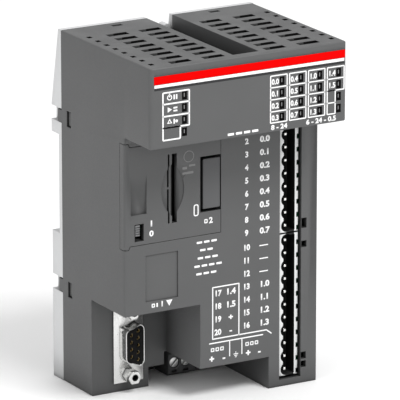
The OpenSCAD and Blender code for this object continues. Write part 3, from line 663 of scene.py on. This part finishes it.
# %% Louvre walls
LOUVRES = [10.7, 24.4, 50.1, 64.3]      # where each one starts, from the left
LOUVRE_LENGTH, RAMP_LENGTH, SLOT_DEPTH = 8.4, 3.4, 2.5
for start_x in LOUVRES:
    take(housing)
    bpy.ops.object.mode_set(mode="EDIT")
    choose(housing, "FACE", lambda face: abs(face.normal.z) < 0.3
           and height - SLOT_DEPTH < (face.center.z - cad_low.z) / MM < height - 0.1
           and start_x < (face.center.x - cad_low.x) / MM < start_x + LOUVRE_LENGTH)
    bpy.ops.mesh.bisect(plane_co=at(start_x + RAMP_LENGTH, 0, 0), plane_no=(1, 0, 0))
    bpy.ops.object.mode_set(mode="OBJECT")
housing.data.materials.append(finish["shadowed_wall"])
for face in housing.data.polygons:
    centre = (face.center - cad_low) / MM
    in_slot = height - SLOT_DEPTH < centre.z < height - 0.1 and abs(face.normal.z) < 0.3
    off_the_rim = 2 < centre.x < width - 1 and 2 < centre.y < 55 and not 35 < centre.x < 48
    shallow = any(start_x - 0.1 < centre.x < start_x + RAMP_LENGTH - 0.1 for start_x in LOUVRES)
    face.material_index = 1 if in_slot and off_the_rim and not shallow else 0
print("slot walls in the dark:", sum(face.material_index for face in housing.data.polygons))

# %% [markdown]
# ## Parts that only need soft edges
#
# Most other parts are right as the CAD has them and only lack the small radius of a real mould, stamping
# or turned edge. A table says how round each one is, in millimetres, and one loop finishes them all.

# %% Simple parts
SOFT_EDGES = {
    "rear_base": 0.25, "option_blank": 0.25, "run_stop_knob": 0.12, "run_stop_switch": 0.15,
    "card_socket": 0.15, "left_light_pipe": 0.1, "right_light_pipe": 0.1,
    "supply_plug": 0.15, "supply_header": 0.2, "rail_latch": 0.3, "bus_connector": 0.2,
    "upper_pins": 0.15, "lower_pins": 0.15, "serial_insert": 0.1, "serial_jackscrews": 0.15,
    "riser_sockets": 0.2, "processor": 0.1, "memory_chips": 0.1, "driver_chips": 0.1,
    "supply_capacitors": 0.3, "supply_inductor": 0.4, "clock_crystal": 0.3, "backup_capacitor": 0.3,
}
for number in range(1, 6):
    SOFT_EDGES["clamp_screw_%d" % number] = 0.1
    SOFT_EDGES["clamp_cage_%d" % number] = 0.08
OWN_FINISH = {"clamp_screw_%d" % number: "clamp_screws" for number in range(1, 6)}
OWN_FINISH["serial_insert"] = "insert"
for node, radius in SOFT_EDGES.items():
    piece = merged_copy(node, node + "_finished")
    soften(piece, radius)
    if node in OWN_FINISH:
        piece.data.materials[0] = finish[OWN_FINISH[node]]
    stands_for(piece, node)

# %% [markdown]
# ## Catches and threads
#
# Two parts need a second finish on some faces, and both are painted shade. The rear base's catches are
# the base's light grey but lie in shade inside the housing's side windows, so they are painted in the
# housing's dark grey, and the threaded holes of the jackscrews are too deep for light, so they are painted
# black. Both are picked by their place.

# %% Catches of the rear base, which show in the housing's side windows
rear_base = bpy.data.objects["rear_base_finished"]
# Painted shade: the catches take the housing's dark grey, standing in for the shade inside the side
# windows.
rear_base.data.materials.append(finish["housing"])
catches_to = housing_high.y - 0.5
for face in rear_base.data.polygons:
    centre = (face.center - cad_low) / MM
    face.material_index = 1 if centre.y < catches_to and not 3.5 < centre.x < width - 3.5 else 0
print("faces of the catches:", sum(face.material_index for face in rear_base.data.polygons))

# %% Threads in the jackscrews are in the dark
THREAD_RADIUS = 1.6
jackscrews = bpy.data.objects["serial_jackscrews_finished"]
# Painted shade: the black moulding's finish stands in for the dark inside the threads.
jackscrews.data.materials.append(finish["black_plastic"])
screw_low, screw_high = corners("serial_jackscrews")
axis_x = (screw_low.x + screw_high.x) / 2
across = screw_high.x - screw_low.x
for face in jackscrews.data.polygons:
    lower = (face.center.z - cad_low.z) / MM < (screw_low.z + screw_high.z) / 2
    middle_z = screw_low.z + across / 2 if lower else screw_high.z - across / 2
    rim = [(jackscrews.data.vertices[i].co - cad_low) / MM for i in face.vertices]
    from_axis = max(math.hypot(point.x - axis_x, point.z - middle_z) for point in rim)
    face.material_index = 1 if from_axis < THREAD_RADIUS else 0
print("faces of the threads:", sum(face.material_index for face in jackscrews.data.polygons))

# %% [markdown]
# ## Option cover
#
# The cover wraps round the housing's left front corner, so that one edge is as round as the housing's.

# %% Option cover, whose left edge wraps round the corner of the housing
cover = merged_copy("option_cover", "option_cover_moulding")
take(cover)
bpy.ops.object.mode_set(mode="EDIT")
choose(cover, "EDGE", lambda edge: lies_on(cover, edge, x=0, y=face_y))
bpy.ops.mesh.bevel(offset=FACE_EDGE * LARGEST_RADIUS * MM, segments=4, profile=0.5, clamp_overlap=False)
bpy.ops.object.mode_set(mode="OBJECT")
smooth(cover)
stands_for(cover, "option_cover")

# %% [markdown]
# ## Signal headers
#
# Each header is a black connector whose front rim is pale, which makes the scalloped edge beside every
# pin stand out. After the edges are rounded, two cuts part the side walls from the middle. The walls'
# faces at the rim's own depth get the pale finish and all others the black one.

# %% Two-tone headers
pins_low, pins_high = corners("upper_pins")
for node in ("upper_header", "lower_header"):
    header = merged_copy(node, node + "_shroud")
    soften(header, 0.1)
    header.data.materials.append(finish["black_plastic"])
    header_low, header_high = corners(node)
    rim_y = header_low.y
    wall_x = (pins_low.x + pins_high.x) / 2, header_high.x - 1.6
    bpy.ops.object.mode_set(mode="EDIT")
    for cut_x in wall_x:
        bpy.ops.mesh.select_all(action="SELECT")
        bpy.ops.mesh.bisect(plane_co=at(cut_x, 0, 0), plane_no=(1, 0, 0))
    bpy.ops.object.mode_set(mode="OBJECT")
    for polygon in header.data.polygons:
        centre = (polygon.center - cad_low) / MM
        on_wall = centre.x < wall_x[0] + 0.01 or centre.x > wall_x[1] - 0.01
        polygon.material_index = 0 if on_wall and centre.y < rim_y + 0.2 else 1
    stands_for(header, node)

# %% [markdown]
# ## Serial port
#
# The shell and its flange are one pressed sheet of nickel-plated steel, so their edges are crisp but
# never sharp. Its rim is a thin ring round the mouth. Made whole and then rounded by 0.13 mm or more, the
# copy gets a lid over the mouth, 3 mm off the CAD, though neither step does that alone. So this copy keeps
# its triangles, and its radius stays a little smaller.

# %% Serial shell
shell = merged_copy("serial_shell", "serial_shell_pressing", whole=False)
soften(shell, 0.12)
stands_for(shell, "serial_shell")

# %% [markdown]
# ## Latch spring
#
# The spring is wound wire. A small circle is stood up beside the axis and a Screw modifier carries it
# round and up, turn after turn. When the latch is pulled, the spring has to shorten.

# %% Coil
spring_low, spring_high = corners("latch_spring")
wire = 0.3
turns = 9
spring_middle = (spring_low + spring_high) / 2
spring_axis = at(spring_middle.x, spring_middle.y, spring_low.z + wire)
coil_radius = (spring_high.x - spring_low.x) / 2 - wire
coil_rise = spring_high.z - spring_low.z - 2 * wire
bpy.ops.object.select_all(action="DESELECT")
bpy.ops.mesh.primitive_circle_add(vertices=10, radius=wire * MM, rotation=(math.radians(90), 0, 0),
                                  location=(coil_radius * MM, 0, 0))
spring = bpy.context.object
spring.name = "latch_spring_coil"
bpy.ops.object.transform_apply(location=True, rotation=True, scale=True)
apply(spring, "SCREW", axis="Z", angle=math.radians(360), screw_offset=coil_rise / turns * MM,
      iterations=turns, steps=24, render_steps=24, use_merge_vertices=False)
bpy.ops.object.mode_set(mode="EDIT")
bpy.ops.mesh.select_all(action="SELECT")
bpy.ops.mesh.remove_doubles(threshold=0.001 * MM)
bpy.ops.mesh.select_all(action="DESELECT")
bpy.ops.mesh.select_non_manifold()
bpy.ops.mesh.fill_holes(sides=0)
bpy.ops.mesh.select_all(action="SELECT")
bpy.ops.mesh.normals_make_consistent(inside=False)
bpy.ops.object.mode_set(mode="OBJECT")
spring.location = spring_axis
bpy.ops.object.transform_apply(location=True, rotation=True, scale=True)
smooth(spring)
spring.data.materials.append(finish["spring_steel"])
stands_for(spring, "latch_spring")
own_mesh(spring)

# %% [markdown]
# ## Printed marks
#
# Everything white on the casing is ink: frames round the indicators, numbers beside the pins and plain
# symbols. The marks are drawn flat as rounded patches, outlines and figures, joined into one piece for
# each surface, and a Solidify modifier then gives the ink its thin body, so that it is real geometry and
# rides on the moulding that it is printed on. Only numbers and plain signs are used.
# Two sheets made the same way are painted light: the dark line under the white one is a painted shadow, and
# the grey bars in the indicator windows are painted highlights.

# %% Flat marks
INK = 0.03                      # how far the ink stands proud, in millimetres
TYPE_SIZE = 1.38                # a font's size for figures one unit tall
BOLDER = 0.06                   # how much each stroke grows, as a share of the figures' height


def printed(name, colour):
    """Matt ink that is a little thinner, and so darker, in patches."""
    material, tree, shader = surface(name, 0.6)
    grain = effect(tree, grain_group, Grains_per_metre=4000.0)
    base = tinted(tree, colour, grain.outputs["Patch"], tuple(c * 0.93 for c in colour), 0.6)
    tree.links.new(base, shader.inputs["Base Color"])
    rough_and_bumpy(tree, shader, grain, 0.6, 0.05, 0.05, 0.00001)
    return material


finish["white_ink"] = printed("white ink", (0.95, 0.95, 0.95))
# Painted shadow: the thin dark line under the white one is a sheet made like the ink that stands for shade.
finish["painted_shadow"] = printed("painted shadow line", (0.012, 0.012, 0.014))
# Faint grey print on the cover and the painted highlights in the indicator windows share this finish.
finish["grey_ink_and_painted_glint"] = printed("faded ink and painted glint", (0.20, 0.20, 0.20))


def settle(mark):
    """Puts a finished flat mark's place into its mesh."""
    take(mark)
    bpy.ops.object.transform_apply(location=True, rotation=True, scale=True)
    return mark


def patch(x0, z0, x1, z1, y, corner=0.0, line=0.0, tilt=0.0):
    """A flat patch between two corners that faces forwards; with a line width it is only an outline."""
    bpy.ops.object.select_all(action="DESELECT")
    bpy.ops.mesh.primitive_plane_add(size=1, rotation=(math.radians(90), math.radians(tilt), 0),
                                     location=at((x0 + x1) / 2, y - INK, (z0 + z1) / 2))
    mark = bpy.context.object
    mark.scale = (abs(x1 - x0) * MM, abs(z1 - z0) * MM, 1)
    settle(mark)
    bpy.ops.object.mode_set(mode="EDIT")
    bpy.ops.mesh.select_all(action="SELECT")
    if corner:
        bpy.ops.mesh.bevel(offset=corner * MM, segments=3, affect="VERTICES")
    if line:
        bpy.ops.mesh.select_all(action="SELECT")
        bpy.ops.mesh.inset(thickness=line * MM, use_even_offset=True)
        bpy.ops.mesh.delete(type="FACE")
    bpy.ops.object.mode_set(mode="OBJECT")
    return mark


def round_mark(x, z, radius, y, sides=24, turn=0.0, line=0.0):
    """A flat disc, ring or triangle, by its number of sides."""
    bpy.ops.object.select_all(action="DESELECT")
    bpy.ops.mesh.primitive_circle_add(vertices=sides, radius=radius * MM, fill_type="NGON")
    mark = bpy.context.object
    mark.rotation_euler = (math.radians(90), math.radians(turn), 0)
    mark.location = at(x, y - INK, z)
    settle(mark)
    if line:
        bpy.ops.object.mode_set(mode="EDIT")
        bpy.ops.mesh.select_all(action="SELECT")
        bpy.ops.mesh.inset(thickness=line * MM, use_even_offset=True)
        bpy.ops.mesh.delete(type="FACE")
        bpy.ops.object.mode_set(mode="OBJECT")
    return mark


def figures(text, x, z, size, y, align="CENTER", stretch=1.0):
    """Numbers or plain signs, as tall as size, centred on a height."""
    bpy.ops.object.select_all(action="DESELECT")
    bpy.ops.object.text_add()
    mark = bpy.context.object
    mark.data.body = text
    mark.data.size = size * MM * TYPE_SIZE
    mark.data.offset = size * MM * BOLDER
    mark.data.align_x = align
    mark.data.align_y = "CENTER"
    mark.data.resolution_u = 3
    bpy.ops.object.convert(target="MESH")
    mark = bpy.context.object
    mark.rotation_euler = (math.radians(90), 0, 0)
    mark.scale = (stretch, 1, 1)
    mark.location = at(x, y - INK, z)
    return settle(mark)


def print_on(body, name, marks, ink="white_ink"):
    """Joins flat marks, gives them the body of ink and lets them ride on a CAD body."""
    bpy.ops.object.select_all(action="DESELECT")
    for mark in marks:
        mark.select_set(True)
    bpy.context.view_layer.objects.active = marks[0]
    bpy.ops.object.join()
    sheet = bpy.context.object
    sheet.name = name
    sheet.data.materials.clear()
    sheet.data.materials.append(finish[ink])
    apply(sheet, "SOLIDIFY", thickness=(INK + 0.02) * MM, offset=-1)
    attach(sheet, body)
    print(name, "-", len(marks), "marks,", len(sheet.data.polygons), "faces")


# %% [markdown]
# ## Marks on the indicator panel
#
# The frames follow the rows and columns of the indicator windows, so their places are counted from the
# light pipes' first window and from the pitch of the indicators.

# %% Indicator panel
led_row, led_col = 4.5, 8.0
led_top = 123.7
left_x = corners("left_light_pipe")[0].x + 0.9
right_x = corners("right_light_pipe")[0].x + 0.9
marks = [patch(1.7, 127.75, width - 0.9, 128.85, 0)]
marks += [patch(4.9, 112.3, 16.3, 125.9, 0, 0.5, 0.55), patch(4.9, 107.8, 12.55, 112.85, 0, 0.5, 0.55)]
for row in (1, 2):
    line_z = 125.9 - row * led_row
    marks.append(patch(5.1, line_z - 0.28, 16.1, line_z + 0.28, 0))
for column in range(4):
    x0 = right_x + column * led_col - 4.0
    last = column == 3
    if last:
        marks.append(patch(x0, 116.95, x0 + 7.6, 126.2, 0, 0.4, 0.45))
        marks.append(patch(x0, 108.2, x0 + 3.85, 117.4, 0, 0.4, 0.45))
    else:
        marks.append(patch(x0, 108.2, x0 + 7.4, 126.2, 0, 0.4, 0.45))
    for row in (1, 2, 3):
        line_z = 126.1 - row * led_row
        if not (last and row == 2):
            reach = 3.8 if last and row == 3 else 7.3
            marks.append(patch(x0 + 0.1, line_z - 0.22, x0 + reach, line_z + 0.22, 0))
    for row in range(2 if last else 4):
        channel = "%d.%d" % (column // 2, column % 2 * 4 + row)
        marks.append(figures(channel, x0 + 2.2, led_top - row * led_row - 0.1, 2.0, 0, stretch=0.9))
print_on("casing", "panel_print", marks)

# %% Symbols of the left group: supply, running, fault
rows = [led_top - row * led_row for row in range(3)]
symbols = [round_mark(7.9, rows[0], 1.05, 0, 20, 0, 0.35),
           patch(7.65, rows[0] + 0.1, 8.15, rows[0] + 1.5, 0),
           patch(9.5, rows[0] - 0.9, 10.1, rows[0] + 0.9, 0),
           patch(10.5, rows[0] - 0.9, 11.1, rows[0] + 0.9, 0),
           round_mark(7.7, rows[1], 1.15, 0, 3, 90), patch(9.5, rows[1] - 0.9, 11.1, rows[1] - 0.3, 0),
           patch(9.5, rows[1] + 0.2, 11.1, rows[1] + 0.8, 0),
           round_mark(7.9, rows[2], 1.2, 0, 3, 0, 0.3), patch(9.5, rows[2] - 0.9, 10.1, rows[2] + 0.9, 0),
           round_mark(10.8, rows[2], 0.55, 0, 12)]
print_on("casing", "status_symbols", symbols)

# %% Line of ratings under the indicators, and the thin painted shadow under the white line
ratings = [figures("8 - 24", 50.2, 106.6, 1.8, 0, "LEFT", 1.15),
           figures("6 - 24 - 0.5", 65.0, 106.6, 1.8, 0, "LEFT", 1.15)]
ratings += [patch(32 + 3.4 * i, 106.1, 34.6 + 3.4 * i, 107.0, 0, 0.2) for i in range(4)]
print_on("casing", "ratings_print", ratings)
print_on("casing", "shadow_line", [patch(1.7, 126.8, width - 0.9, 127.72, 0)], "painted_shadow")

# %% Painted highlights in the indicator windows
pipe_y = corners("left_light_pipe")[0].y
# Painted highlight: a small grey bar in each dark window stands in for the glint of light on the light
# pipe.
glints = []
for column_x in [left_x] + [right_x + i * led_col for i in range(4)]:
    for row in range(4):
        middle = led_top - row * led_row
        glints.append(patch(column_x + 0.85, middle - 0.5, column_x + 1.2, middle + 0.9, pipe_y, 0.1))
print_on("casing", "window_glints", glints, "grey_ink_and_painted_glint")

# %% [markdown]
# ## Marks on the terminal face
#
# Every pin has its number and its channel beside it, so the heights are counted from the pins themselves.

# %% Terminal numbers
pin_pitch = 5.0
upper_top = corners("upper_pins")[1].z - 0.5
lower_top = corners("lower_pins")[1].z - 0.5
heights = [upper_top - i * pin_pitch for i in range(9)] + [lower_top - i * pin_pitch for i in range(7)]
labels = [""] + ["0.%d" % i for i in range(8)] + ["-"] * 3 + ["1.%d" % i for i in range(4)]
numbers = []
for i, (pin_z, label) in enumerate(zip(heights, labels)):
    if i:
        numbers.append(figures(str(i + 1), 51.4, pin_z, 2.2, face_y, stretch=0.95))
    if label == "-":
        numbers.append(patch(56.9, pin_z - 0.2, 60.6, pin_z + 0.2, face_y))
    elif label:
        numbers.append(figures(label, 59.1, pin_z, 2.25, face_y, stretch=1.1))
print_on("casing", "terminal_numbers", numbers)

# %% Framed block of the last four terminals, and the supply's symbols
frame_marks = [patch(36.75, 23.0, 48.4, 43.3, face_y, 0.2, 0.45), patch(48.0, 23.0, 60.2, 23.45, face_y)]
for i, sign in enumerate(["1.4", "1.5", "+", "-"]):
    row_z = 40.5 - i * pin_pitch
    frame_marks += [figures(str(17 + i), 39.2, row_z, 2.2, face_y, stretch=0.95),
                    figures(sign, 44.7, row_z, 2.25, face_y, stretch=1.1)]
frame_marks += [patch(35.5, 21.4, 58.6, 21.85, face_y), patch(44.05, 15.5, 44.45, 21.5, face_y),
                patch(49.3, 15.5, 49.7, 21.5, face_y)]
for x, sign in ((36.6, "+"), (41.8, "-"), (52.2, "+"), (57.0, "-")):
    frame_marks.append(figures(sign, x, 15.4, 2.6, face_y))
for x in (36.2, 38.2, 40.2, 51.0, 53.0, 55.0):
    frame_marks.append(patch(x, 18.3, x + 1.5, 19.8, face_y, 0.2, 0.4))
for i in range(3):
    frame_marks.append(patch(45.9 + 0.35 * i, 15.9 - 0.6 * i, 47.9 - 0.35 * i, 16.2 - 0.6 * i, face_y))
frame_marks.append(patch(46.8, 16.2, 47.0, 17.0, face_y))
frame_marks.append(patch(59.9, 22.1, 62.5, 22.55, face_y, tilt=38))
print_on("casing", "supply_print", frame_marks)

# %% Marks by the serial port and the caution field, drawn as plain signs and bars
port_marks = [patch(11.2, 39.4, 12.6, 40.9, face_y, 0.3, 0.4), patch(13.2, 39.4, 13.8, 40.9, face_y),
              figures("1", 15.6, 40.2, 2.0, face_y), round_mark(18.6, 40.6, 1.5, face_y, 3, 180)]
for row, (count, first) in enumerate(((3, 30.2), (2, 31.6), (3, 30.6), (4, 29.2), (3, 30.0))):
    for i in range(count):
        x = first + i * 3.1
        port_marks.append(patch(x, 60.8 - row * 3.0, x + 2.3, 61.6 - row * 3.0, face_y, 0.2))
print_on("casing", "port_print", port_marks)

# %% [markdown]
# ## Marks that come off with the cover
#
# These marks ride on the option cover instead of the casing, so they leave with it when it is pulled.

# %% Marks on the option cover
cover_marks = [figures("1", 11.2, 71.4, 2.1, face_y, stretch=1.2),
               figures("0", 11.2, 67.6, 2.1, face_y, stretch=1.2),
               patch(28.9, 71.5, 31.0, 76.0, face_y, 0.8, 0.45), figures("2", 36.2, 69.0, 2.2, face_y),
               patch(33.4, 68.2, 34.8, 69.8, face_y, 0.3, 0.4)]
print_on("option_cover", "cover_print", cover_marks)
faint = [round_mark(26.9, 94.6, 2.2, face_y, 24, 0, 0.3), patch(24.2, 89.9, 26.2, 90.9, face_y, 0.2),
         patch(27.0, 90.7, 29.6, 91.5, face_y, 0.2), patch(24.2, 88.0, 28.8, 88.9, face_y, 0.2)]
print_on("option_cover", "card_print", faint, "grey_ink_and_painted_glint")

# %% [markdown]
# ## Last measurements
#
# How far the dressed model's box reaches past the frame's box is printed for each side, as it should keep
# the frame's size. The only growth is the ink on the front.

# %% Sizes and finish
look_low, look_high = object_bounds()
growth = (*(cad_low - look_low), *(look_high - cad_high))
print("grown by millimetres:", [round(1000 * side, 3) for side in growth])
